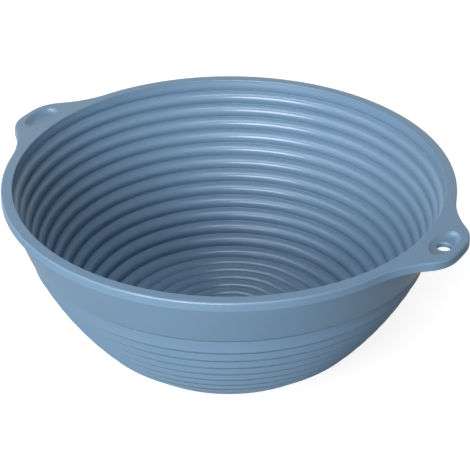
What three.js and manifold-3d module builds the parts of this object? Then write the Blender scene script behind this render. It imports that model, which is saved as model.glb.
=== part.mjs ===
// Silicone proofing basket: a round bowl with half-round rings inside, steps outside,
// a flat rim and two ears, one of them with a hanging hole.
// Millimetres, +Z up, origin on the table under the centre, +X through the hanging ear.
import * as THREE from 'three';
import { mergeVertices } from 'three/addons/utils/BufferGeometryUtils.js';
import Module from 'manifold-3d';

// Overall form
const HEIGHT = 91;
const MOUTH_RADIUS = 108.8;
const MOUTH_EDGE_CHAMFER = 0.4;
const RIM_WIDTH = 6.2;
const RIM_THICKNESS = 4.6;
const RIM_EDGE_ROUND = 1;
const BASE_MARGIN = 6.7;

// Groove line of the inside: flat floor, tight corner arc, wide wall arc up to the mouth
const FLOOR_SKIN = 2.2;
const FLOOR_FLAT_RADIUS = 55.3;
const CORNER_RADIUS = 19.6;
const WALL_RADIUS = 175;

// Half-round rings between the grooves, evenly up the wall and evenly over the floor
const WALL_RING_COUNT = 14;
const FLOOR_RING_COUNT = 6;
const RING_RISE = 2.2;
const FIRST_GROOVE_DROP = 6.8;
const FLOOR_GROOVE_INSET = 2.1;
const CENTRE_DOME_RADIUS = 7;

// Outside: a smooth upper band, one tall shoulder ring, a step behind each inner ring, a sloped foot
const SHOULDER_GROOVE_COUNT = 5;
const SHOULDER_HEIGHT = 9;
const BAND_SKIN = 1.7;
const STEP_SKIN = 2.45;
const STEP_LIFT = 1.7;
const STEP_DRAFT_DEG = 3;
const LEDGE_SLOPE_DEG = 40;

// Ears: tip arc about the bowl's centre, round corners, hollow blends into the rim
const EAR_REACH = 15;
const EAR_TIP_WIDTH = 9.4;
const EAR_CORNER_RADIUS = 20.2;
const EAR_BLEND_RADIUS = 56.3;
const EAR_ROOT_WALL = 4.7;
const DISH_ROOT_WALL = 0.8;
const DISH_LENGTH = 24;
const DISH_WIDTH = 12.4;
const DISH_DEPTH = 2.1;
const DISH_SIDE = 2.6;
const HANGING_HOLE_DIAMETER = 6.2;

// Facets
const TURN_SEGMENTS = 48;
const WALL_RING_FACETS = 4;
const FLOOR_RING_FACETS = 3;
const BAND_FACETS = 4;
const RIM_ROUND_FACETS = 2;
const DISH_SEGMENTS = 32;
const HOLE_SEGMENTS = 24;
const OUTLINE_STEP_DEG = 7.5;

// Reach of a cutting tool past the face that it opens
const CUT_MARGIN = 2;

const { PI, atan2, acos, asin, sin, cos, tan, sqrt, ceil, abs, min, max } = Math;
const point = (x, y) => new THREE.Vector2(x, y);
const polar = (centre, radius, angle) => (
  point(centre.x + radius * cos(angle), centre.y + radius * sin(angle)));
const bearing = (from, to) => atan2(to.y - from.y, to.x - from.x);
const AXIS = point(0, 0);

const silicone = new THREE.MeshStandardMaterial({ color: 0x7c9ab6, roughness: 0.45, metalness: 0 });

function named(name, geometry) {
  const mesh = new THREE.Mesh(geometry, silicone.clone());
  mesh.name = name;
  return mesh;
}

// Solids that are cut

const wasm = await Module();
wasm.setup();

function toSolid(geometry) {
  geometry.deleteAttribute('normal');
  geometry.deleteAttribute('uv');
  const merged = mergeVertices(geometry);
  return new wasm.Manifold(new wasm.Mesh({
    numProp: 3,
    vertProperties: new Float32Array(merged.attributes.position.array),
    triVerts: new Uint32Array(merged.index.array),
  }));
}

function toGeometry(solid) {
  const mesh = solid.getMesh();
  const geometry = new THREE.BufferGeometry();
  geometry.setAttribute('position', new THREE.BufferAttribute(new Float32Array(mesh.vertProperties), 3));
  geometry.setIndex(new THREE.BufferAttribute(new Uint32Array(mesh.triVerts), 1));
  geometry.computeVertexNormals();
  return geometry;
}

function boxBetween(low, high) {
  const size = new THREE.Vector3().subVectors(high, low);
  const middle = new THREE.Vector3().addVectors(low, high).multiplyScalar(0.5);
  return new THREE.BoxGeometry(size.x, size.y, size.z).translate(middle.x, middle.y, middle.z);
}

// Revolve about Z of a closed profile of (radius, height) points, listed anticlockwise
function turned(profile, segments = TURN_SEGMENTS) {
  return new THREE.LatheGeometry(profile, segments).rotateX(PI / 2);
}

// Groove line of the inside

const rimRadius = MOUTH_RADIUS + RIM_WIDTH;
const rimUnderside = HEIGHT - RIM_THICKNESS;
const baseRadius = FLOOR_FLAT_RADIUS + BASE_MARGIN;

// Where two circles cross, on the left of the line from the first centre to the second
function circlesCross(a, radiusA, b, radiusB) {
  const distance = a.distanceTo(b);
  const along = (distance ** 2 + radiusA ** 2 - radiusB ** 2) / (2 * distance);
  const aside = sqrt(radiusA ** 2 - along ** 2);
  const onLine = polar(a, along, bearing(a, b));
  return polar(onLine, aside, bearing(a, b) + PI / 2);
}

// The wall arc runs through the mouth and meets the corner arc in a tangent
const mouthOnGrooveLine = point(MOUTH_RADIUS + RING_RISE, HEIGHT);
const cornerCentre = point(FLOOR_FLAT_RADIUS, FLOOR_SKIN + CORNER_RADIUS);
const wallCentre = circlesCross(cornerCentre, WALL_RADIUS - CORNER_RADIUS, mouthOnGrooveLine, WALL_RADIUS);
const cornerTurn = PI / 2 + bearing(wallCentre, cornerCentre);
const cornerLength = CORNER_RADIUS * cornerTurn;

// Point of the groove line, by length from the edge of the flat floor up the wall
function grooveLine(length) {
  if (length <= 0) return point(FLOOR_FLAT_RADIUS + length, FLOOR_SKIN);
  if (length < cornerLength) return polar(cornerCentre, CORNER_RADIUS, length / CORNER_RADIUS - PI / 2);
  return polar(wallCentre, WALL_RADIUS, cornerTurn + (length - cornerLength) / WALL_RADIUS - PI / 2);
}

// Radius at a height of the groove line moved outwards by a skin
function skinRadius(height, skin) {
  const wallTurn = acos((wallCentre.y - height) / (WALL_RADIUS + skin));
  if (wallTurn >= cornerTurn) return wallCentre.x + (WALL_RADIUS + skin) * sin(wallTurn);
  return cornerCentre.x + sqrt((CORNER_RADIUS + skin) ** 2 - (cornerCentre.y - height) ** 2);
}

// Grooves by length, from one above the rim down the wall and over the floor to the centre dome
const firstGrooveTurn = acos((wallCentre.y - HEIGHT + FIRST_GROOVE_DROP) / WALL_RADIUS);
const firstGroove = cornerLength + (firstGrooveTurn - cornerTurn) * WALL_RADIUS;
const wallPitch = (firstGroove + FLOOR_GROOVE_INSET) / WALL_RING_COUNT;
const floorPitch = (FLOOR_FLAT_RADIUS - FLOOR_GROOVE_INSET - CENTRE_DOME_RADIUS) / FLOOR_RING_COUNT;
const grooves = [];
for (let i = 0; i <= WALL_RING_COUNT; i += 1) grooves.push(firstGroove + (1 - i) * wallPitch);
for (let i = 0; i <= FLOOR_RING_COUNT; i += 1) grooves.push(-FLOOR_GROOVE_INSET - i * floorPitch);

// A ring is an arc from one groove to the next that rises into the bowl, without its last point
function ringArc(upper, lower, facets) {
  const start = grooveLine(upper);
  const end = grooveLine(lower);
  const half = start.distanceTo(end) / 2;
  const radius = (half ** 2 + RING_RISE ** 2) / (2 * RING_RISE);
  const inward = bearing(start, end) - PI / 2;
  const centre = polar(start.clone().lerp(end, 0.5), RING_RISE - radius, inward);
  const spread = 2 * atan2(RING_RISE, half);
  const turn = (i) => inward + spread * ((2 * i) / facets - 1);
  return Array.from({ length: facets }, (_, i) => polar(centre, radius, turn(i)));
}

// The inner surface as one line: the mouth, the rings down the wall and floor, the centre dome
const firstRing = ringArc(grooves[0], grooves[1], WALL_RING_FACETS).slice(WALL_RING_FACETS / 2);
const innerLine = [point(firstRing[0].x, HEIGHT), ...firstRing];
for (let i = 1; i < grooves.length - 1; i += 1) {
  const facets = i <= WALL_RING_COUNT ? WALL_RING_FACETS : FLOOR_RING_FACETS;
  innerLine.push(...ringArc(grooves[i], grooves[i + 1], facets));
}
const domeFarSide = grooves.at(-1) - 2 * CENTRE_DOME_RADIUS;
innerLine.push(...ringArc(grooves.at(-1), domeFarSide, WALL_RING_FACETS).slice(0, WALL_RING_FACETS / 2));
innerLine.push(point(0, FLOOR_SKIN + RING_RISE));

const firstBelow = (height) => innerLine.findIndex((p) => p.y < height);

function innerCrossing(height) {
  const after = innerLine[firstBelow(height)];
  const before = innerLine[firstBelow(height) - 1];
  return before.clone().lerp(after, (before.y - height) / (before.y - after.y));
}

// Stretch of the inner line between two heights, from the upper one down
function innerBetween(top, bottom) {
  return [innerCrossing(top), ...innerLine.slice(firstBelow(top), firstBelow(bottom)), innerCrossing(bottom)];
}

// Rim plate with its ears

// Arc points in the rim's plane, without the last one
function arcPoints(centre, radius, from, to) {
  const count = ceil(abs(to - from) / THREE.MathUtils.degToRad(OUTLINE_STEP_DEG));
  return Array.from({ length: count }, (_, i) => polar(centre, radius, from + ((to - from) * i) / count));
}

const earTipRadius = rimRadius + EAR_REACH;
const earTipHalf = asin(EAR_TIP_WIDTH / 2 / earTipRadius);
const earCornerReach = earTipRadius - EAR_CORNER_RADIUS;
const earBlendReach = rimRadius + EAR_BLEND_RADIUS;
const earBlendHalf = earTipHalf + acos(
  (earBlendReach ** 2 + earCornerReach ** 2 - (EAR_BLEND_RADIUS + EAR_CORNER_RADIUS) ** 2)
  / (2 * earBlendReach * earCornerReach),
);

// Half of the outline, anticlockwise: an ear about the given direction, then the rim to the next ear
function halfOutline(direction) {
  const blendCentre = (side) => polar(AXIS, earBlendReach, direction + side * earBlendHalf);
  const cornerCentreAt = (side) => polar(AXIS, earCornerReach, direction + side * earTipHalf);
  const blendIn = bearing(blendCentre(-1), AXIS);
  const blendSweep = bearing(blendCentre(-1), cornerCentreAt(-1)) - blendIn;
  const sweep = atan2(sin(blendSweep), cos(blendSweep));
  const cornerStart = blendIn + sweep + PI;
  const cornerEnd = direction - earTipHalf;
  const cornerSweep = atan2(sin(cornerEnd - cornerStart), cos(cornerEnd - cornerStart));
  const blendOut = bearing(blendCentre(1), AXIS);
  const tipEnd = direction + earTipHalf;
  return [
    ...arcPoints(blendCentre(-1), EAR_BLEND_RADIUS, blendIn, blendIn + sweep),
    ...arcPoints(cornerCentreAt(-1), EAR_CORNER_RADIUS, cornerEnd - cornerSweep, cornerEnd),
    ...arcPoints(AXIS, earTipRadius, direction - earTipHalf, tipEnd),
    ...arcPoints(cornerCentreAt(1), EAR_CORNER_RADIUS, tipEnd, tipEnd + cornerSweep),
    ...arcPoints(blendCentre(1), EAR_BLEND_RADIUS, blendOut - sweep, blendOut),
    ...arcPoints(AXIS, rimRadius, direction + earBlendHalf, direction + PI - earBlendHalf),
  ];
}

// Plate of the rim's thickness with a round upper edge and a sharp lower one
function rimPlate() {
  const outline = new THREE.Shape([...halfOutline(0), ...halfOutline(PI)]);
  const plate = new THREE.ExtrudeGeometry(outline, {
    depth: RIM_THICKNESS + CUT_MARGIN,
    bevelThickness: RIM_EDGE_ROUND,
    bevelSize: RIM_EDGE_ROUND,
    bevelOffset: -RIM_EDGE_ROUND,
    bevelSegments: RIM_ROUND_FACETS,
  }).translate(0, 0, rimUnderside - CUT_MARGIN - RIM_EDGE_ROUND);
  const reach = earTipRadius + CUT_MARGIN;
  const waste = boxBetween(
    new THREE.Vector3(-reach, -reach, rimUnderside - 2 * CUT_MARGIN - 2 * RIM_EDGE_ROUND),
    new THREE.Vector3(reach, reach, rimUnderside),
  );
  return toSolid(plate).subtract(toSolid(waste));
}

// Space inside the rim, down to its underside and a little past both faces
function mouthCutter() {
  const lip = innerBetween(HEIGHT - MOUTH_EDGE_CHAMFER, rimUnderside).reverse();
  const under = lip[0];
  const edge = lip.at(-1);
  return toSolid(turned([
    point(0, rimUnderside - CUT_MARGIN),
    point(under.x, rimUnderside - CUT_MARGIN),
    ...lip,
    point(edge.x + MOUTH_EDGE_CHAMFER + CUT_MARGIN, HEIGHT + CUT_MARGIN),
    point(0, HEIGHT + CUT_MARGIN),
  ]));
}

// Oval dish in an ear's top, with sides that slope to a flat bottom
const earRoot = MOUTH_RADIUS + EAR_ROOT_WALL;
const dishCentre = earRoot + DISH_ROOT_WALL + DISH_WIDTH / 2;

function dishCutter(side) {
  const half = DISH_WIDTH / 2;
  const profile = [
    point(0, -DISH_DEPTH),
    point(half - DISH_SIDE, -DISH_DEPTH),
    point(half - DISH_SIDE / 3, -DISH_DEPTH / 2),
    point(half, 0),
    point(half, CUT_MARGIN),
    point(0, CUT_MARGIN),
  ];
  return toSolid(turned(profile, DISH_SEGMENTS)
    .scale(1, DISH_LENGTH / DISH_WIDTH, 1)
    .translate(side * dishCentre, 0, HEIGHT));
}

function holeCutter(side) {
  const length = RIM_THICKNESS + 2 * CUT_MARGIN;
  const radius = HANGING_HOLE_DIAMETER / 2;
  return toSolid(new THREE.CylinderGeometry(radius, radius, length, HOLE_SEGMENTS)
    .rotateX(PI / 2)
    .translate(side * dishCentre, 0, HEIGHT - RIM_THICKNESS / 2));
}

function earRegion(side) {
  const reach = earTipRadius + CUT_MARGIN;
  const near = side * earRoot;
  const far = side * reach;
  return toSolid(boxBetween(
    new THREE.Vector3(min(near, far), -reach, rimUnderside - CUT_MARGIN),
    new THREE.Vector3(max(near, far), reach, HEIGHT + CUT_MARGIN),
  ));
}

function rim() {
  const plate = rimPlate();
  const ears = [1, -1].map((side) => plate.intersect(earRegion(side)).subtract(dishCutter(side)));
  const ring = plate.subtract(earRegion(1)).subtract(earRegion(-1)).subtract(mouthCutter());
  const group = new THREE.Group();
  group.add(
    named('rim_flange', toGeometry(ring)),
    named('hanging_ear', toGeometry(ears[0].subtract(holeCutter(1)))),
    named('thumb_ear', toGeometry(ears[1])),
  );
  return group;
}

// Bowl under the rim

// Closed profile between two heights, from an outside listed upwards
function zone(outside, top, bottom) {
  const profile = [...outside, ...innerBetween(top, bottom)];
  return turned([...profile, profile[0]]);
}

function upperBand(bottom) {
  const outside = [];
  for (let i = 0; i <= BAND_FACETS; i += 1) {
    const height = bottom + ((rimUnderside - bottom) * i) / BAND_FACETS;
    outside.push(point(skinRadius(height, BAND_SKIN), height));
  }
  return zone(outside, rimUnderside, bottom);
}

// Ring with a nearly upright side over its lower edge, then a slope out to the lower edge of the zone above
function stepRing(top, topRadius, bottom, foot) {
  const draft = tan(THREE.MathUtils.degToRad(STEP_DRAFT_DEG));
  const slope = tan(THREE.MathUtils.degToRad(LEDGE_SLOPE_DEG));
  const depth = (topRadius - foot - (top - bottom) * draft) / (1 - slope * draft);
  const corner = point(topRadius - depth, top - depth * slope);
  return zone([point(foot, bottom), corner, point(topRadius, top)], top, bottom);
}

function floorDisc(top, topRadius) {
  return turned([
    AXIS,
    point(baseRadius, 0),
    point(topRadius, top),
    innerCrossing(top),
    ...innerLine.slice(firstBelow(top)),
  ]);
}

// Each step has its lower edge behind the upper half of the inner ring under a groove
function stepHeight(groove) {
  return grooveLine((grooves[groove] + grooves[groove + 1]) / 2).y + STEP_LIFT;
}

function bowl() {
  const group = new THREE.Group();
  let top = stepHeight(SHOULDER_GROOVE_COUNT) + SHOULDER_HEIGHT;
  let topRadius = skinRadius(top, BAND_SKIN);
  group.add(named('upper_band', upperBand(top)));
  for (let groove = SHOULDER_GROOVE_COUNT; groove < WALL_RING_COUNT - 1; groove += 1) {
    const bottom = stepHeight(groove);
    const foot = skinRadius(bottom, STEP_SKIN);
    const number = groove - SHOULDER_GROOVE_COUNT;
    const name = number === 0 ? 'shoulder_ring' : `step_ring_${number}`;
    group.add(named(name, stepRing(top, topRadius, bottom, foot)));
    top = bottom;
    topRadius = foot;
  }

  // The foot slopes straight from the last step to the base, and its zone ends a ring lower
  const floorTop = stepHeight(WALL_RING_COUNT - 1);
  const floorTopRadius = baseRadius + ((topRadius - baseRadius) * floorTop) / top;
  const slope = [point(floorTopRadius, floorTop), point(topRadius, top)];
  group.add(
    named('foot_ring', zone(slope, top, floorTop)),
    named('floor_disc', floorDisc(floorTop, floorTopRadius)),
  );
  return group;
}

const basket = new THREE.Group();
basket.add(rim(), bowl());

export default basket;
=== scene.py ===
"""Silicone proofing basket for bread dough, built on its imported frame.

A round moulded bowl with half-round rings inside, steps outside, a flat rim and two ears.
Metres, +Z up, origin on the table under the centre, +X through the ear with the hanging hole.
A section is an array of complex numbers, radius + 1j * height, and a plan is x + 1j * y.
"""
from math import acos, asin, cos, pi, radians, sin, tan

import bmesh
import bpy
import numpy as np
from bpy.props import FloatProperty, FloatVectorProperty, IntProperty, PointerProperty
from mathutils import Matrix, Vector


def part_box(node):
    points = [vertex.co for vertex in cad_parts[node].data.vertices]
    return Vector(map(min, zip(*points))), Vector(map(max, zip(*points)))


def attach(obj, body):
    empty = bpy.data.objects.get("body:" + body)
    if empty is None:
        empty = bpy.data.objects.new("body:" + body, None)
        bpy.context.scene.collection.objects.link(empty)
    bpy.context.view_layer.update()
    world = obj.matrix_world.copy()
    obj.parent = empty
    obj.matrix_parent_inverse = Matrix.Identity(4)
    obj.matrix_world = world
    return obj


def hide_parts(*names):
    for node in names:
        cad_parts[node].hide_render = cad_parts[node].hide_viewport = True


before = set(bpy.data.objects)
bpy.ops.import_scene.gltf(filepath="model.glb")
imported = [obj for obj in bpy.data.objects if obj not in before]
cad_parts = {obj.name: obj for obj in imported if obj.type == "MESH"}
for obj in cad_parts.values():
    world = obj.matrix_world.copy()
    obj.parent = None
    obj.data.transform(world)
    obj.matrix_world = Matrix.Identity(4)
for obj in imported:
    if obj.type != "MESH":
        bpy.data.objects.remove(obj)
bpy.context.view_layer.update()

bl_info = {
    "name": "Silicone proofing basket",
    "version": (1, 0, 0),
    "blender": (4, 5, 0),
    "location": "View3D > Sidebar > Basket",
    "description": "Builds a round silicone proofing basket on its packed frame",
    "category": "Object",
}

MM = 0.001

# The bowl's curve, which the frame's solids follow too
MOUTH_RADIUS = 108.8 * MM
RIM_RADIUS = 115 * MM
FLOOR_SKIN = 2.2 * MM
FLOOR_FLAT_RADIUS = 55.3 * MM
CORNER_RADIUS = 19.6 * MM
WALL_RADIUS = 175 * MM

# Outside: the band's skin, how far a step's side leans in going up, the fall of its underside,
# the foot's radius on the table, and the share of the foot that the last step's piece takes
BAND_SKIN = 1.7 * MM
STEP_LEAN = radians(1)
LEDGE_SLOPE = radians(43.5)
BASE_RADIUS = 62.6 * MM
FOOT_START = 0.15

# Mouth: the radius of its edge, and how far the lip under it swells towards the axis.
# The swell goes by share squared * (1 - share), which is at most 4 / 27
MOUTH_EDGE = 109.3 * MM
LIP_BULGE = 0.7 * MM
BULGE_SCALE = 27 / 4

# Places of the grooves, along the bowl's curve
WALL_RINGS = 14
FLOOR_RINGS = 6
RING_RISE = 2.2 * MM
FIRST_GROOVE_DROP = 6.8 * MM
FLOOR_GROOVE_INSET = 2.1 * MM
CENTRE_DOME_RADIUS = 7 * MM

# Grooves by number, from the one above the rim: under the band, the shoulder, the wall, the floor
BAND_GROOVES = 4
SHOULDER_GROOVES = 6
FLOOR_GROOVE = WALL_RINGS
INMOST_GROOVE = WALL_RINGS + FLOOR_RINGS + 1

# Ears: tip arc about the axis, round corners, hollow blends into the rim
EAR_TIP_RADIUS = 130 * MM
EAR_TIP_WIDTH = 9.4 * MM
EAR_CORNER_RADIUS = 20.2 * MM
EAR_BLEND_RADIUS = 56.3 * MM

# Dishes in the ears: place, slope of the side, and the flat spot in the middle of the bare one
DISH_CENTRE = 120.5 * MM
DISH_SLOPE = radians(58)
DISH_MIDDLE_RADIUS = 0.5 * MM

# Heights that the frame gives, and the lower edges of the band and of each step, from the top down
RIM_UNDERSIDE, RIM_TOP = (corner.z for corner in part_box("rim_flange"))
STEP_NODES = ["shoulder_ring", *sorted(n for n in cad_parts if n.startswith("step_ring_"))]
EDGES = [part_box(node)[1].x + 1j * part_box(node)[1].z for node in (*STEP_NODES, "foot_ring")]

# How fine the meshes are, and the strip beside a rounded edge that keeps the flat face flat
ROUND_STEPS = 5
NOSE_STEPS = 14
GROOVE_STEPS = 5
LIP_STEPS = 8
BAND_STEPS = 14
EDGE_STRIP = 0.12 * MM
SEAM_DEPTH = 0.5 * MM
MERGE_DISTANCE = 1e-3 * MM
SHARP_ANGLE = radians(42)

# Normals' heights: a face below the first doesn't look up, and one below the second looks down
LOOKS_UP = 0.3
LOOKS_DOWN = -0.9


def linear(code):
    """Linear colour of an sRGB hex code such as "7c9ab6".

    A value up to 0.04045 is divided by 12.92, and one above it goes by a power of 2.4.
    """
    value = np.array([int(code[i:i + 2], 16) for i in (0, 2, 4)]) / 255
    curve = ((value + 0.055) / 1.055) ** 2.4
    return tuple(np.where(value <= 0.04045, value / 12.92, curve).tolist())


class BasketSizes(bpy.types.PropertyGroup):
    """Sizes of the moulding's finer forms."""

    ring_rise: FloatProperty(
        name="Ring rise", description="How far the inner rings stand out from the grooves",
        default=2.5 * MM, min=0.5 * MM, max=3 * MM, unit="LENGTH", precision=5)
    groove_round: FloatProperty(
        name="Groove round", description="Radius at the bottom of a groove between two rings",
        default=0.3 * MM, min=0.1 * MM, max=1.5 * MM, unit="LENGTH", precision=5)
    mouth_round: FloatProperty(
        name="Mouth round", description="Radius on the inner edge of the rim",
        default=0.45 * MM, min=0.2 * MM, max=0.8 * MM, unit="LENGTH", precision=5)
    rim_round: FloatProperty(
        name="Rim round", description="Radius on the upper outer edge of the rim and ears",
        default=1 * MM, min=0.2 * MM, max=2 * MM, unit="LENGTH", precision=5)
    rim_lower_round: FloatProperty(
        name="Rim lower round", description="Radius on the lower outer edge of the rim and ears",
        default=0.15 * MM, min=0.1 * MM, max=1 * MM, unit="LENGTH", precision=5)
    step_round: FloatProperty(
        name="Step round", description="Radius on the lower edge of the band and of each step",
        default=0.5 * MM, min=0.1 * MM, max=1.5 * MM, unit="LENGTH", precision=5)
    step_fillet: FloatProperty(
        name="Step fillet", description="Radius in the corner under each slope of the outside",
        default=0.25 * MM, min=0.1 * MM, max=1 * MM, unit="LENGTH", precision=5)
    base_round: FloatProperty(
        name="Base round", description="Radius round the edge that the basket stands on",
        default=1 * MM, min=0.2 * MM, max=2 * MM, unit="LENGTH", precision=5)
    dish_length: FloatProperty(
        name="Dish length", description="Length of the oval dish in each ear, along the rim",
        default=24 * MM, min=16 * MM, max=26 * MM, unit="LENGTH", precision=5)
    dish_width: FloatProperty(
        name="Dish width", description="Width of the oval dish in each ear, across the rim",
        default=12.4 * MM, min=11 * MM, max=13 * MM, unit="LENGTH", precision=5)
    dish_depth: FloatProperty(
        name="Dish depth", description="Depth of the oval dish in each ear",
        default=2.1 * MM, min=0.5 * MM, max=2.5 * MM, unit="LENGTH", precision=5)
    dish_round: FloatProperty(
        name="Dish round", description="Radius on the upper edge of the dish",
        default=0.3 * MM, min=0.1 * MM, max=0.6 * MM, unit="LENGTH", precision=5)
    hole_diameter: FloatProperty(
        name="Hole diameter", description="Diameter of the hanging hole",
        default=7 * MM, min=4 * MM, max=7.5 * MM, unit="LENGTH", precision=5)
    hole_round: FloatProperty(
        name="Hole round", description="Radius on the upper edge of the hanging hole",
        default=0.5 * MM, min=0.2 * MM, max=1.2 * MM, unit="LENGTH", precision=5)
    hole_lower_round: FloatProperty(
        name="Hole lower round", description="Radius on the lower edge of the hanging hole",
        default=0.25 * MM, min=0.1 * MM, max=0.5 * MM, unit="LENGTH", precision=5)
    columns: IntProperty(
        name="Columns", description="Number of facets round the bowl",
        default=320, min=96, max=480)


class BasketColours(bpy.types.PropertyGroup):
    """Colours and lights of the basket and its stage."""

    silicone: FloatVectorProperty(
        name="Silicone", description="Pigment of the silicone",
        default=linear("6d8aa3"), min=0, max=1, size=3, subtype="COLOR")
    silicone_deep: FloatVectorProperty(
        name="Silicone, deeper", description="Pigment where the batch is mixed a little denser",
        default=linear("6986a0"), min=0, max=1, size=3, subtype="COLOR")
    floor: FloatVectorProperty(
        name="Floor", description="Paper that the basket stands on",
        default=linear("626262"), min=0, max=1, size=3, subtype="COLOR")
    key: FloatProperty(
        name="Key light", description="Power of the large soft light",
        default=29, min=0, unit="POWER")
    fill: FloatProperty(
        name="Fill", description="Strength of the even light from all round",
        default=0.008, min=0)


# The bowl's curve

def cross_left(a, radius_a, b, radius_b):
    """Where two circles cross, on the left of the line from a to b.

    The point lies along the line by the cosine rule, and then aside by Pythagoras.
    """
    distance = abs(b - a)
    along = (distance ** 2 + radius_a ** 2 - radius_b ** 2) / (2 * distance)
    return a + (along + 1j * (radius_a ** 2 - along ** 2) ** 0.5) * (b - a) / distance


CORNER_CENTRE = FLOOR_FLAT_RADIUS + 1j * (FLOOR_SKIN + CORNER_RADIUS)
WALL_CENTRE = cross_left(
    CORNER_CENTRE, WALL_RADIUS - CORNER_RADIUS,
    MOUTH_RADIUS + RING_RISE + 1j * RIM_TOP, WALL_RADIUS)
CORNER_TURN = pi / 2 + np.angle(CORNER_CENTRE - WALL_CENTRE)
CORNER_LENGTH = CORNER_RADIUS * CORNER_TURN


def groove_line(length):
    """Points of the bowl's curve and the directions into the bowl.

    The length is counted from the edge of the flat floor. Below zero the curve runs straight over
    the floor; then it turns round a corner arc and goes on round a wall arc, each in a tangent to
    the last. The direction into the bowl is towards the arc's centre.
    """
    corner = np.minimum(np.maximum(length, 0), CORNER_LENGTH) / CORNER_RADIUS
    wall = np.maximum(length - CORNER_LENGTH, 0) / WALL_RADIUS
    outward = np.exp(1j * (corner + wall - pi / 2))
    on_floor = FLOOR_FLAT_RADIUS + length + 1j * FLOOR_SKIN
    on_corner = CORNER_CENTRE + CORNER_RADIUS * outward
    on_wall = WALL_CENTRE + WALL_RADIUS * outward
    where = [length < 0, length < CORNER_LENGTH]
    return np.select(where, [on_floor, on_corner], on_wall), -outward


def groove_lengths():
    """Lengths of the grooves, from one above the rim to one past the centre.

    They lie evenly down the wall and evenly over the floor. The first groove under the rim is
    found on the wall arc by the cosine of its turn, from its drop below the rim's top.
    """
    turn = acos((WALL_CENTRE.imag - RIM_TOP + FIRST_GROOVE_DROP) / WALL_RADIUS)
    first = CORNER_LENGTH + (turn - CORNER_TURN) * WALL_RADIUS
    pitch = (first + FLOOR_GROOVE_INSET) / WALL_RINGS
    wall = first + pitch * (1 - np.arange(WALL_RINGS + 1))
    inmost = CENTRE_DOME_RADIUS - FLOOR_FLAT_RADIUS
    floor = np.linspace(-FLOOR_GROOVE_INSET, inmost, FLOOR_RINGS + 1)
    return np.concatenate([wall, floor, [inmost - 2 * CENTRE_DOME_RADIUS]])


GROOVES = groove_lengths()


def ring(upper, sizes):
    """Section of one ring, from the groove numbered upper down to the next.

    Across, a ring is a nose arc between two groove arcs, all in tangents. Half the pitch and the
    rise set the sum of the nose's and the groove's radii, (half squared + rise squared) /
    (2 * rise), and the arcs meet where the sine of their turn is half / sum. Each point stands off
    the bowl's curve by its own rise, along the direction into the bowl.
    """
    middle = (GROOVES[upper] + GROOVES[upper + 1]) / 2
    half = (GROOVES[upper] - GROOVES[upper + 1]) / 2
    both = (half ** 2 + sizes.ring_rise ** 2) / (2 * sizes.ring_rise)
    nose, lean = both - sizes.groove_round, asin(half / both)
    turn = np.linspace(0, lean, GROOVE_STEPS)
    beside = half - sizes.groove_round * np.sin(turn)
    low = sizes.groove_round * (1 - np.cos(turn))
    turn = np.linspace(lean, -lean, NOSE_STEPS + 1)[1:-1]
    along = np.concatenate([beside, nose * np.sin(turn), -beside[::-1]])
    rise = np.concatenate([low, sizes.ring_rise - nose * (1 - np.cos(turn)), low[::-1]])
    point, inward = groove_line(middle + along)
    return point + rise * inward


def rings(first, last, sizes):
    """Section of the inner surface from one groove down to another, without doubled points."""
    parts = [ring(upper, sizes)[:-1] for upper in range(first, last)]
    return np.concatenate([*parts, groove_line(GROOVES[[last]])[0]])


def seam(corner, groove):
    """Hidden face through the wall, where two pieces meet.

    It runs from a corner of the outside to a point straight behind a groove, then to its bottom.
    """
    point, inward = groove_line(GROOVES[[groove]])
    return np.concatenate([[corner], point - SEAM_DEPTH * inward, point])


def rounded(centre, radius, start, end):
    """Points of an arc about a centre, between two bearings in degrees."""
    return centre + radius * np.exp(1j * np.radians(np.linspace(start, end, ROUND_STEPS)))


def bend(before, corner, after, radius):
    """Arc that rounds a corner between two lines, with a point of each line beside it.

    Its centre lies on the corner's bisector, at radius / sin(half the angle between the lines),
    and it touches the lines at radius / tan(that half) from the corner.
    """
    back = (before - corner) / abs(before - corner)
    on = (after - corner) / abs(after - corner)
    half = abs(np.angle(on / back)) / 2
    centre = corner + radius / sin(half) * (back + on) / abs(back + on)
    start, end = (corner + radius / tan(half) * way - centre for way in (back, on))
    arc = centre + start * np.exp(1j * np.linspace(0, np.angle(end / start), ROUND_STEPS))
    return np.concatenate([[arc[0] + EDGE_STRIP * back], arc, [arc[-1] + EDGE_STRIP * on]])


# Meshes

def on_grid(plan, height):
    """Vertices of a plan and its heights, as rows of x, y and z."""
    height = np.broadcast_to(height, plan.shape)
    return np.stack([plan.real, plan.imag, height], -1).reshape(-1, 3)


def grid_faces(rows, columns):
    """Quads of a grid that closes on itself both ways, outwards where rows run anticlockwise."""
    here = np.arange(rows * columns).reshape(rows, columns)
    beside = np.roll(here, -1, 1)
    return np.stack([here, beside, np.roll(beside, -1, 0), np.roll(here, -1, 0)], -1)


def turned(section, columns, closed=True):
    """Surface of revolution, as its vertices and lists of vertex numbers.

    Each section point is carried round the axis, x + 1j * y = radius * exp(1j * bearing). An open
    section has no faces from its last point back to its first.
    """
    bearing = np.linspace(0, 2 * pi, columns, endpoint=False)
    plan = section.real[:, None] * np.exp(1j * bearing)
    faces = grid_faces(len(section), columns)
    faces = faces if closed else faces[:-1]
    return on_grid(plan, section.imag[:, None]), faces.reshape(-1, 4).tolist()


def new_mesh(name, vertices, faces):
    """A mesh from its vertices and its lists of vertex numbers."""
    mesh = bpy.data.meshes.new(name)
    mesh.from_pydata(vertices.tolist(), [], faces)
    return mesh


def shade_smooth(mesh):
    """Sets every face of a mesh to smooth shading."""
    mesh.polygons.foreach_set("use_smooth", np.ones(len(mesh.polygons), bool))


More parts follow.
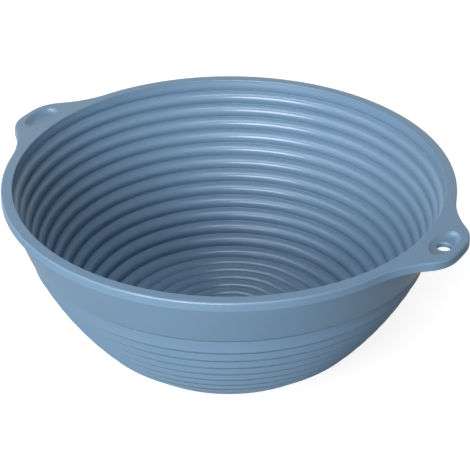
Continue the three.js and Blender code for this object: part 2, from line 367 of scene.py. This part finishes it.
def faces_away(mesh):
    """Which faces look away from the axis or down, as the outside of the bowl does.

    A face looks away from the axis where the product of its middle's plan and its normal's plan is
    above zero.
    """
    middle, normal = np.zeros((2, len(mesh.polygons), 3))
    mesh.polygons.foreach_get("center", middle.ravel())
    mesh.polygons.foreach_get("normal", normal.ravel())
    outwards = np.einsum("ij,ij->i", middle[:, :2], normal[:, :2]) > 0
    return outwards & (normal[:, 2] < LOOKS_UP) | (normal[:, 2] < LOOKS_DOWN)


def put_piece(name, vertices, faces, nodes):
    """A piece that rides on the frame in the place of its nodes.

    Its poles are merged, it is smooth but for sharp edges, and it wears the polished finish inside
    and on top and the matt one outside.
    """
    mesh = new_mesh(name, vertices, faces)
    work = bmesh.new()
    work.from_mesh(mesh)
    bmesh.ops.remove_doubles(work, verts=work.verts, dist=MERGE_DISTANCE)
    if any(not edge.is_manifold for edge in work.edges) or work.calc_volume(signed=True) <= 0:
        raise RuntimeError(f"{name} isn't a closed body with its faces outwards")
    work.to_mesh(mesh)
    work.free()
    shade_smooth(mesh)
    mesh.set_sharp_from_angle(angle=SHARP_ANGLE)
    colours = bpy.context.scene.basket_colours
    for finish, *gloss in (POLISHED, MATT):
        mesh.materials.append(node_material(finish, moulded_silicone, *gloss, colours))
    mesh.polygons.foreach_set("material_index", faces_away(mesh).astype(np.int32))
    piece = bpy.data.objects.new(name, mesh)
    bpy.context.scene.collection.objects.link(piece)
    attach(piece, "root")
    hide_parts(*nodes)


# Rim and ears

RIM_BLEND_REACH = RIM_RADIUS + EAR_BLEND_RADIUS
EAR_CORNER_REACH = EAR_TIP_RADIUS - EAR_CORNER_RADIUS
EAR_TIP_HALF = asin(EAR_TIP_WIDTH / 2 / EAR_TIP_RADIUS)
EAR_BLEND_HALF = EAR_TIP_HALF + acos(
    (RIM_BLEND_REACH ** 2 + EAR_CORNER_REACH ** 2 - (EAR_BLEND_RADIUS + EAR_CORNER_RADIUS) ** 2)
    / (2 * RIM_BLEND_REACH * EAR_CORNER_REACH))

# A window is the patch of an ear that the dish or the hole's lower edge takes up: half its angle,
# and its start and end as shares of the way over the underside, outwards, and the top, inwards
EAR_WINDOW = radians(7.6)
UNDER_WINDOW = (0.12, 0.86)
TOP_WINDOW = (0.06, 0.84)
WINDOW_COLUMNS, FLANK_COLUMNS, RIM_COLUMNS, WINDOW_ROWS = 24, 32, 60, 24

# Rows of a dish: flat ones by share of the way to the oval, then rows on the edge's arc, rows in
# the hollow by how far in they lie, and rows over the bottom
DISH_FLAT_SHARES = (0.35, 0.7, 1)
DISH_EDGE_ROWS = 4
DISH_HOLLOW_INSETS = np.linspace(0.45, 1.7, 6) * MM
DISH_BOTTOM_ROWS = 5


def rim_bearings():
    """Bearings of the rim's columns, and the columns at which the first ear's window ends.

    They start at -90 degrees and lie close together at the ears. A quarter has three even
    stretches; it is mirrored, and the half is turned by pi.
    """
    quarter = np.concatenate([
        np.linspace(0, EAR_WINDOW, WINDOW_COLUMNS, endpoint=False),
        np.linspace(EAR_WINDOW, EAR_BLEND_HALF, FLANK_COLUMNS, endpoint=False),
        np.linspace(EAR_BLEND_HALF, pi / 2, RIM_COLUMNS + 1)])
    half = np.concatenate([-quarter[:0:-1], quarter[:-1]])
    middle = len(quarter) - 1
    return np.concatenate([half, half + pi]), (middle - WINDOW_COLUMNS, middle + WINDOW_COLUMNS)


def rim_outline(bearing):
    """Outline of the rim and ears, and the directions out of it, by bearing.

    In one quarter a ray from the axis meets the tip arc, the far side of the corner's circle, the
    near side of the blend's circle or the rim's circle. A circle is met at the part of its centre
    along the ray, plus or minus the root of its radius squared less the part across it squared.
    The other quarters are mirrored.
    """
    fold = np.arcsin(np.abs(np.sin(bearing)))
    ray = np.exp(1j * fold)
    corner = EAR_CORNER_REACH * np.exp(1j * EAR_TIP_HALF)
    blend = RIM_BLEND_REACH * np.exp(1j * EAR_BLEND_HALF)
    touch = corner + EAR_CORNER_RADIUS * (blend - corner) / abs(blend - corner)

    def meet(centre, radius, side):
        to_centre = centre * ray.conj()
        half_chord = np.sqrt(np.maximum(radius ** 2 - to_centre.imag ** 2, 0))
        return (to_centre.real + side * half_chord) * ray

    def mirror(z):
        across, along = np.sign(np.cos(bearing)), np.sign(np.sin(bearing))
        return across * np.abs(z.real) + 1j * along * z.imag

    on_corner = meet(corner, EAR_CORNER_RADIUS, 1)
    on_blend = meet(blend, EAR_BLEND_RADIUS, -1)
    off_corner = (on_corner - corner) / EAR_CORNER_RADIUS
    off_blend = (blend - on_blend) / EAR_BLEND_RADIUS
    where = [fold < EAR_TIP_HALF, fold < np.angle(touch), fold < EAR_BLEND_HALF]
    point = np.select(where, [EAR_TIP_RADIUS * ray, on_corner, on_blend], RIM_RADIUS * ray)
    out = np.select(where, [ray, off_corner, off_blend], ray)
    return mirror(point), mirror(out)


def mouth_rows(sizes):
    """Section from the rim's flat top over the mouth's edge and down the lip to the first groove.

    The lip is straight from the edge to the groove, but for a swell towards the axis by share
    squared * (1 - share), so that it leaves the edge nearly upright.
    """
    groove = ring(0, sizes)[-GROOVE_STEPS:]
    brink = MOUTH_EDGE + 1j * RIM_TOP
    share = np.linspace(0, 1, LIP_STEPS)[1:-1]
    swell = BULGE_SCALE * LIP_BULGE * share ** 2 * (1 - share)
    lip = brink + (groove[0] - brink) * share - swell
    return np.concatenate([bend(brink + MM, brink, lip[0], sizes.mouth_round), lip, groove])


def rim_rows(bearing, sizes):
    """Rows of the rim's section, and the numbers of the windows' rows under it and on top.

    Each row is a plan for every bearing, and a height. They run out over the underside, up the
    side, in over the top, down the mouth to the first groove, and close in a seam. On the flats a
    row lies a set share of the way between the wall and the outline; at an edge it follows the
    edge's arc, drawn in along the outline's direction.
    """
    outline, out = rim_outline(bearing)
    ray = np.exp(1j * bearing)
    mouth = mouth_rows(sizes)
    steps = np.linspace(0, 1, WINDOW_ROWS + 1)

    def across(start, end, window):
        low, high = window
        shares = np.concatenate([[0], low + (high - low) * steps, [1]])
        return [start + (end - start) * share for share in shares]

    def edge(radius, level, start, end):
        arc = rounded(-radius + 1j * level, radius, start, end)
        return [outline + out * p.real for p in arc], list(arc.imag)

    low, high = sizes.rim_lower_round, sizes.rim_round
    lower, lower_heights = edge(low, RIM_UNDERSIDE + low, -90, 0)
    upper, upper_heights = edge(high, RIM_TOP - high, 0, 90)
    under = across(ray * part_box("upper_band")[1].x, lower[0] - EDGE_STRIP * out, UNDER_WINDOW)
    top = across(upper[-1] - EDGE_STRIP * out, ray * mouth[0].real, TOP_WINDOW)
    plans = [
        *under, *lower, outline, outline, *upper, *top, *(ray * p.real for p in mouth[1:])]
    heights = [
        *[RIM_UNDERSIDE] * len(under), *lower_heights, lower_heights[-1] + EDGE_STRIP,
        upper_heights[0] - EDGE_STRIP, *upper_heights, *[RIM_TOP] * len(top), *mouth[1:].imag]
    under_row = 1
    top_row = len(under) + len(lower) + 2 + len(upper) + 1
    return (np.array(plans), np.array(heights),
            (under_row, under_row + WINDOW_ROWS), (top_row + WINDOW_ROWS, top_row))


def dish_drop(inset, sizes):
    """Depth of the dish by how far a point lies in from its edge.

    An arc turns over the edge down to the dish's slope, and a hollow arc in a tangent to it turns
    back to level, each dropping by radius * the change in the cosine of its turn. From there on
    the bottom is flat.
    """
    edge, drop = sizes.dish_round * sin(DISH_SLOPE), sizes.dish_round * (1 - cos(DISH_SLOPE))
    hollow = (sizes.dish_depth - drop) / (1 - cos(DISH_SLOPE))
    on_edge = sizes.dish_round - np.sqrt(np.maximum(sizes.dish_round ** 2 - inset ** 2, 0))
    left = np.maximum(sin(DISH_SLOPE) - (inset - edge) / hollow, 0)
    in_hollow = drop + hollow * (np.sqrt(np.maximum(1 - left ** 2, 0)) - cos(DISH_SLOPE))
    return np.where(inset < edge, on_edge, in_hollow)


def dish_rows(window, centre, sizes, hole):
    """Rows of a dish from its window in the rim's top, as plans and heights.

    They run flat to the oval, down the dish, then to the hole and through it, or to the middle. A
    window point's angle about the centre, with the oval drawn out to a circle, gives its point of
    the oval. A row lies a set distance in from the oval, along its direction, and then a set share
    of the way to the hole.
    """
    wide, long = sizes.dish_width / 2, sizes.dish_length / 2
    from_centre = window - centre
    angle = np.angle(from_centre.real / wide + 1j * from_centre.imag / long)
    oval = centre + wide * np.cos(angle) + 1j * long * np.sin(angle)
    out = np.cos(angle) / wide + 1j * np.sin(angle) / long
    out /= np.abs(out)
    bore, radius = np.exp(1j * angle), sizes.hole_diameter / 2
    brink = centre + (radius + sizes.hole_round if hole else DISH_MIDDLE_RADIUS) * bore
    edge_insets = sizes.dish_round * np.linspace(0, sin(DISH_SLOPE), DISH_EDGE_ROWS)
    insets = np.concatenate([edge_insets, DISH_HOLLOW_INSETS])
    last = oval - insets[-1] * out
    room = np.abs(brink - oval) - insets[-1]
    shares = np.linspace(0, 1, DISH_BOTTOM_ROWS + 1)[1:]
    flat_end = oval + EDGE_STRIP * out
    plans = [
        *(window + (flat_end - window) * share for share in DISH_FLAT_SHARES),
        *(oval - inset * out for inset in insets),
        *(last + (brink - last) * share for share in shares)]
    level = np.full(angle.shape, RIM_TOP)
    heights = [
        *(level for _ in DISH_FLAT_SHARES),
        *(level - dish_drop(inset, sizes) for inset in insets),
        *(level - dish_drop(insets[-1] + room * share, sizes) for share in shares)]
    if hole:
        down = rounded(radius + sizes.hole_round + 0j, sizes.hole_round, 90, 180)[1:]
        up = rounded(radius + sizes.hole_lower_round + 0j, sizes.hole_lower_round, 180, 270)
        plans += [centre + p.real * bore for p in (*down, down[-1], up[0], *up)]
        top = heights[-1] - sizes.hole_round
        foot = np.full(angle.shape, RIM_UNDERSIDE + sizes.hole_lower_round)
        heights += [top + p.imag for p in down]
        heights += [heights[-1] - EDGE_STRIP, foot + EDGE_STRIP, *(foot + p.imag for p in up)]
    return np.array(plans), np.array(heights)


def window_loop(rows, columns, total):
    """Vertex numbers round a window in a grid, each its row * the total of columns + its column.

    They run along its inner row, out, back along its outer row, and in again.
    """
    inner, outer = rows
    first, last = columns
    along, back = np.arange(first, last), np.arange(last, first, -1)
    step = 1 if outer > inner else -1
    outwards, inwards = np.arange(inner, outer, step), np.arange(outer, inner, -step)
    return np.concatenate([
        inner * total + along, outwards * total + last,
        outer * total + back, inwards * total + first])


def strip_faces(*rows):
    """Quads between rows of vertex numbers that each close into a loop."""
    rows = np.vstack(rows)
    beside = np.roll(rows, -1, 1)
    return np.stack([rows[:-1], rows[1:], beside[1:], beside[:-1]], -1).reshape(-1, 4).tolist()


class BASKET_OT_rim(bpy.types.Operator):
    """Makes the flat rim with its mouth lip and its two ears, one with the hanging hole"""

    bl_idname = "basket.rim"
    bl_label = "Rim and ears"
    bl_options = {"REGISTER", "UNDO"}

    def execute(self, context):
        sizes = context.scene.basket_sizes
        bearing, columns = rim_bearings()
        plans, heights, under, top = rim_rows(bearing, sizes)
        total = len(bearing)
        vertices = on_grid(plans, heights[:, None])
        faces = grid_faces(len(plans), total)
        kept = np.ones(faces.shape[:2], bool)
        strips, centres = [], []
        for side, hole in ((1, True), (-1, False)):
            span = columns if side == 1 else tuple(c + total // 2 for c in columns)
            kept[top[1]:top[0], span[0]:span[1]] = False
            loop = window_loop(top, span, total)
            rows, levels = dish_rows(plans.ravel()[loop], side * DISH_CENTRE + 0j, sizes, hole)
            numbers = len(vertices) + np.arange(rows.size).reshape(rows.shape)
            vertices = np.concatenate([vertices, on_grid(rows, levels)])
            if hole:
                kept[under[0]:under[1], span[0]:span[1]] = False
                strips += strip_faces(loop, numbers, window_loop(under, span, total))
            else:
                strips += strip_faces(loop, numbers)
                middle = np.full(len(loop), len(vertices))
                vertices = np.concatenate([vertices, [[side * DISH_CENTRE, 0, levels[-1, 0]]]])
                fan = [numbers[-1], middle, np.roll(numbers[-1], -1)]
                centres += np.stack(fan, -1).tolist()
        put_piece("rim_and_ears", vertices, faces[kept].tolist() + strips + centres,
                  ("rim_flange", "hanging_ear", "thumb_ear"))
        return {"FINISHED"}


# Bowl under the rim

def corner_under(number):
    """Corner between the slope in from a lower edge and the side of the next step.

    The slope falls by its tangent as it goes in, and the side leans in by its own tangent as it
    goes up from the next lower edge, so the depth of the corner solves the two lines.
    """
    above, lean, slope = EDGES[number], tan(STEP_LEAN), tan(LEDGE_SLOPE)
    gap = above - EDGES[number + 1]
    depth = (gap.real + gap.imag * lean) / (1 + slope * lean)
    return above - depth * (1 + 1j * slope)


def fillet_under(number, sizes):
    """Arc in the corner under a lower edge, from the next step's side to the slope.

    Its last point is where the two pieces meet.
    """
    return bend(EDGES[number + 1], corner_under(number), EDGES[number], sizes.step_fillet)


def foot_point(share):
    """Point of the foot, which slopes straight from the last lower edge to the base, by share."""
    return EDGES[-1] + (BASE_RADIUS - EDGES[-1]) * share


def foot_end():
    """Share of the foot's slope at which the frame's floor begins."""
    return 1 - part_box("floor_disc")[1].z / EDGES[-1].imag


class BASKET_OT_band(bpy.types.Operator):
    """Makes the smooth outer band under the rim, with the upper rings inside"""

    bl_idname = "basket.band"
    bl_label = "Upper band"
    bl_options = {"REGISTER", "UNDO"}

    def execute(self, context):
        sizes = context.scene.basket_sizes
        skin = WALL_RADIUS + BAND_SKIN
        levels = (EDGES[0].imag, RIM_UNDERSIDE)
        ends = [asin((height - WALL_CENTRE.imag) / skin) for height in levels]
        outside = WALL_CENTRE + skin * np.exp(1j * np.linspace(*ends, BAND_STEPS))
        slope = fillet_under(0, sizes)[-1]
        section = np.concatenate([
            [slope], bend(slope, outside[0], outside[1], sizes.step_round), outside[1:-1],
            bend(outside[-2], outside[-1], outside[-1] + MM, sizes.step_fillet),
            [outside[-1]], rings(1, BAND_GROOVES, sizes), seam(slope, BAND_GROOVES)[[1]],
        ])
        put_piece("upper_band_wall", *turned(section, sizes.columns), ("upper_band",))
        return {"FINISHED"}


class BASKET_OT_steps(bpy.types.Operator):
    """Makes the tall shoulder, the steps under it and the foot, each with the ring behind it"""

    bl_idname = "basket.steps"
    bl_label = "Shoulder and steps"
    bl_options = {"REGISTER", "UNDO"}

    def execute(self, context):
        sizes = context.scene.basket_sizes
        upper = BAND_GROOVES
        for number, node in enumerate(STEP_NODES):
            last = number + 1 == len(STEP_NODES)
            slope = foot_point(FOOT_START) if last else fillet_under(number + 1, sizes)[-1]
            side = fillet_under(number, sizes)
            edge = bend(slope, EDGES[number + 1], side[0], sizes.step_round)
            lower = SHOULDER_GROOVES + number
            self.put(node, np.concatenate([[slope], edge, side]), upper, lower, sizes)
            upper = lower
        foot = foot_point(np.array([foot_end(), FOOT_START]))
        self.put("foot_ring", foot, FLOOR_GROOVE - 1, FLOOR_GROOVE, sizes)
        return {"FINISHED"}

    def put(self, node, outside, upper, lower, sizes):
        """A ring of the wall from its outside, listed upwards, and the grooves at its ends."""
        section = np.concatenate([
            outside, seam(outside[-1], upper)[1:],
            rings(upper, lower, sizes)[1:], seam(outside[0], lower)[[1]]])
        put_piece(f"{node}_wall", *turned(section, sizes.columns), (node,))


class BASKET_OT_floor(bpy.types.Operator):
    """Makes the flat base with the rings of the floor"""

    bl_idname = "basket.floor"
    bl_label = "Floor"
    bl_options = {"REGISTER", "UNDO"}

    def execute(self, context):
        sizes = context.scene.basket_sizes
        slope = foot_point(foot_end())
        # Half of the ring over the centre, ended on the axis
        dome = ring(INMOST_GROOVE, sizes)[:(2 * GROOVE_STEPS + NOSE_STEPS) // 2]
        dome[-1] = 1j * dome[-1].imag
        section = np.concatenate([
            [0], bend(0, BASE_RADIUS, slope, sizes.base_round), seam(slope, FLOOR_GROOVE),
            rings(FLOOR_GROOVE, INMOST_GROOVE, sizes)[1:-1], dome,
        ])
        surface = turned(section, sizes.columns, closed=False)
        put_piece("floor_base", *surface, ("floor_disc",))
        return {"FINISHED"}


# Materials

# The silicone's two finishes: name, roughness from and to, and level of the gloss
POLISHED = ("polished moulded silicone", (0.28, 0.31), 1.0)
MATT = ("matt moulded silicone", (0.48, 0.54), 0.18)
SILICONE_IOR = 1.42
# Painted tint of the gloss: a faint blue that colours the sheen and glints, though the lamps are
# white
PAINTED_SHEEN_TINT = "eff0ff"

# Sizes of the silicone's patterns. The mould's grain is about 0.1 mm across and deep, and is drawn
# 0.7 mm wide so that it shows
CLOUD_SIZE = 30 * MM
PATCH_SIZE = 9 * MM
GRAIN_SIZE = 0.7 * MM
GRAIN_DEPTH = 0.1 * MM
GRAIN_STRENGTH = 0.04

# The paper as a camera sees it: what it scatters, and what it gives off
PAPER_SEEN = "a6a6a6"
PAPER_GLOW = 0.8


def add_node(tree, kind, inputs=None, **settings):
    """A node of a kind with its settings, and its inputs by name or number.

    An input that is given a socket is linked to it, and any other is set.
    """
    node = tree.nodes.new(kind)
    for name, value in settings.items():
        setattr(node, name, value)
    for name, value in (inputs or {}).items():
        if isinstance(value, bpy.types.NodeSocket):
            tree.links.new(value, node.inputs[name])
        else:
            node.inputs[name].default_value = value
    return node


def node_material(name, surface, *settings):
    """The material of a name, which is made from its surface's nodes where it isn't there yet."""
    material = bpy.data.materials.get(name)
    if material is None:
        material = bpy.data.materials.new(name)
        material.use_nodes = True
        tree = material.node_tree
        tree.nodes.clear()
        add_node(tree, "ShaderNodeOutputMaterial", {"Surface": surface(tree, *settings)})
    return material


def moulded_silicone(tree, roughness, gloss_level, colours):
    """Platinum-cured silicone, pigmented right through and pressed in a steel mould.

    To the eye: an even grey blue, with a soft satin gloss on the ring tops where the mould is
    polished and none where it is finely blasted, no clear mirror image, a very slight cloudiness
    of the pigment and a fine grain. The gloss carries a painted faint blue tint, so the sheen and
    glints of the white lamps show bluish.
    """
    place = add_node(tree, "ShaderNodeTexCoord").outputs["Object"]
    # Clouds of the pigment
    cloud = add_node(
        tree, "ShaderNodeTexNoise", {"Vector": place, "Scale": 1 / CLOUD_SIZE, "Detail": 3.0})
    pigment = add_node(
        tree, "ShaderNodeMix",
        {"Factor": cloud.outputs["Fac"],
         "A": (*colours.silicone, 1), "B": (*colours.silicone_deep, 1)},
        data_type="RGBA")
    # Patches of gloss from handling
    patch = add_node(
        tree, "ShaderNodeTexNoise", {"Vector": place, "Scale": 1 / PATCH_SIZE, "Detail": 2.0})
    gloss = add_node(
        tree, "ShaderNodeMapRange",
        {"Value": patch.outputs["Fac"], "To Min": roughness[0], "To Max": roughness[1]})
    # Grain of the mould
    grain = add_node(
        tree, "ShaderNodeTexNoise", {"Vector": place, "Scale": 1 / GRAIN_SIZE, "Detail": 2.0})
    skin = add_node(
        tree, "ShaderNodeBump",
        {"Height": grain.outputs["Fac"], "Strength": GRAIN_STRENGTH, "Distance": GRAIN_DEPTH})
    # The specular tint paints a faint blue into the sheen and glints
    shader = add_node(tree, "ShaderNodeBsdfPrincipled", {
        "Base Color": pigment.outputs["Result"], "Roughness": gloss.outputs["Result"],
        "Normal": skin.outputs["Normal"], "IOR": SILICONE_IOR,
        "Specular IOR Level": gloss_level, "Specular Tint": (*linear(PAINTED_SHEEN_TINT), 1)})
    return shader.outputs["BSDF"]


def seen_directly(tree):
    """One for a camera's ray, or one that a glossy or clear surface sends on, and else zero."""
    path = add_node(tree, "ShaderNodeLightPath").outputs
    sent_on = add_node(
        tree, "ShaderNodeMath",
        {0: path["Is Glossy Ray"], 1: path["Is Transmission Ray"]}, operation="MAXIMUM")
    seen = add_node(
        tree, "ShaderNodeMath",
        {0: path["Is Camera Ray"], 1: sent_on.outputs["Value"]}, operation="MAXIMUM")
    return seen.outputs["Value"]


def background_paper(tree, colours):
    """Matt background paper, which scatters evenly and keeps the basket's soft shadow.

    To the eye it is plain white, and the light that it sends back to the basket is dim.
    """
    dim = add_node(tree, "ShaderNodeBsdfDiffuse", {"Color": (*colours.floor, 1)})
    white = add_node(tree, "ShaderNodeBsdfDiffuse", {"Color": (*linear(PAPER_SEEN), 1)})
    glow = add_node(
        tree, "ShaderNodeEmission", {"Color": (1, 1, 1, 1), "Strength": PAPER_GLOW})
    lit = add_node(
        tree, "ShaderNodeAddShader", {0: white.outputs["BSDF"], 1: glow.outputs["Emission"]})
    either = add_node(
        tree, "ShaderNodeMixShader",
        {0: seen_directly(tree), 1: dim.outputs["BSDF"], 2: lit.outputs["Shader"]})
    return either.outputs["Shader"]


# Stage

CAMERA_PLACE = (0.36995, -0.58242, 0.48399)
CAMERA_TURN = (radians(58.16), 0, radians(32.17))
CAMERA_LENS = 119.83
CAMERA_SENSOR = 36

# The paper's section: flat, then up in a bend of 1 m, and just under the basket
PAPER_FLAT_RADIUS = 2
PAPER_BEND_CENTRE, PAPER_BEND_RADIUS = 3 + 1j, 1
PAPER_TOP = 4 + 2.5j
PAPER_DROP = 0.05 * MM
PAPER_COLUMNS = 64

# Soft lights: bearing and elevation in degrees, width and height in metres, share of the key
# light's power, and whether they show as glints
LIGHT_DISTANCE = 1.5
LIGHT_AIM = (0, 0, 0.05)
LIGHTS = {
    "key": (-81.6, 19, 1.1, 0.5, 1, True),
    "top": (-86, 68, 1.7, 0.38, 0.46, True),
    "left": (-142, 38, 0.7, 0.5, 0.08, True),
    "back": (128, 13, 1.6, 0.5, 0.45, False),
}


def put_light(name, bearing, elevation, wide, high, power, glints):
    """A soft light of a width and height, aimed at the bowl from a bearing and an elevation.

    It stands at a set distance along (cos e * cos b, cos e * sin b, sin e) from its aim.
    """
    lamp = bpy.data.lights.new(name, "AREA")
    lamp.shape, lamp.size, lamp.size_y, lamp.energy = "RECTANGLE", wide, high, power
    light = bpy.data.objects.new(name, lamp)
    turn, rise = radians(bearing), radians(elevation)
    away = np.array([cos(rise) * cos(turn), cos(rise) * sin(turn), sin(rise)])
    light.location = away * LIGHT_DISTANCE + LIGHT_AIM
    light.rotation_euler = (radians(90 - elevation), 0, radians(bearing + 90))
    light.visible_glossy = glints
    bpy.context.scene.collection.objects.link(light)


class BASKET_OT_stage(bpy.types.Operator):
    """Sets out the white paper, the soft lights, the dim even light all round and the camera"""

    bl_idname = "basket.stage"
    bl_label = "Stage"
    bl_options = {"REGISTER", "UNDO"}

    def execute(self, context):
        scene, colours = context.scene, context.scene.basket_colours
        curve = rounded(PAPER_BEND_CENTRE, PAPER_BEND_RADIUS, -90, 0)
        sweep = np.concatenate([[0, PAPER_FLAT_RADIUS], curve, [PAPER_TOP]]) - 1j * PAPER_DROP
        mesh = new_mesh("floor_paper", *turned(sweep, PAPER_COLUMNS, closed=False))
        shade_smooth(mesh)
        mesh.materials.append(node_material("matt background paper", background_paper, colours))
        floor = bpy.data.objects.new("floor_paper", mesh)
        scene.collection.objects.link(floor)

        for name, (bearing, elevation, wide, high, share, glints) in LIGHTS.items():
            put_light(name, bearing, elevation, wide, high, share * colours.key, glints)

        world = bpy.data.worlds.new("dim even light")
        world.use_nodes = True
        tree = world.node_tree
        tree.nodes.clear()
        even = add_node(
            tree, "ShaderNodeBackground", {"Color": (1, 1, 1, 1), "Strength": colours.fill})
        add_node(tree, "ShaderNodeOutputWorld", {"Surface": even.outputs["Background"]})
        scene.world = world
        scene.view_settings.view_transform = "Standard"

        lens = bpy.data.cameras.new("camera")
        lens.lens, lens.sensor_width, lens.sensor_fit = CAMERA_LENS, CAMERA_SENSOR, "HORIZONTAL"
        camera = bpy.data.objects.new("camera", lens)
        camera.location, camera.rotation_euler = CAMERA_PLACE, CAMERA_TURN
        scene.collection.objects.link(camera)
        scene.camera = camera
        return {"FINISHED"}


class BASKET_PT_sidebar(bpy.types.Panel):
    """Lists the basket's sizes, colours and pieces"""

    bl_idname = "BASKET_PT_sidebar"
    bl_label = "Proofing basket"
    bl_space_type = "VIEW_3D"
    bl_region_type = "UI"
    bl_category = "Basket"

    def draw(self, context):
        for group in (context.scene.basket_sizes, context.scene.basket_colours):
            column = self.layout.column(align=True)
            for name in group.__annotations__:
                column.prop(group, name)
        column = self.layout.column(align=True)
        for operator in OPERATORS:
            column.operator(operator.bl_idname)


OPERATORS = (BASKET_OT_stage, BASKET_OT_rim, BASKET_OT_band, BASKET_OT_steps, BASKET_OT_floor)
CLASSES = (BasketSizes, BasketColours, *OPERATORS, BASKET_PT_sidebar)


def register():
    """Registers the classes, and gives the scene its sizes and colours."""
    for item in CLASSES:
        bpy.utils.register_class(item)
    bpy.types.Scene.basket_sizes = PointerProperty(type=BasketSizes)
    bpy.types.Scene.basket_colours = PointerProperty(type=BasketColours)


def unregister():
    """Takes away what register adds, in the opposite order."""
    del bpy.types.Scene.basket_colours
    del bpy.types.Scene.basket_sizes
    for item in reversed(CLASSES):
        bpy.utils.unregister_class(item)


def main():
    """Sets out the stage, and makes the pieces."""
    register()
    bpy.ops.basket.stage()
    bpy.ops.basket.rim()
    bpy.ops.basket.band()
    bpy.ops.basket.steps()
    bpy.ops.basket.floor()
    bpy.context.view_layer.update()


if __name__ == "__main__":
    main()
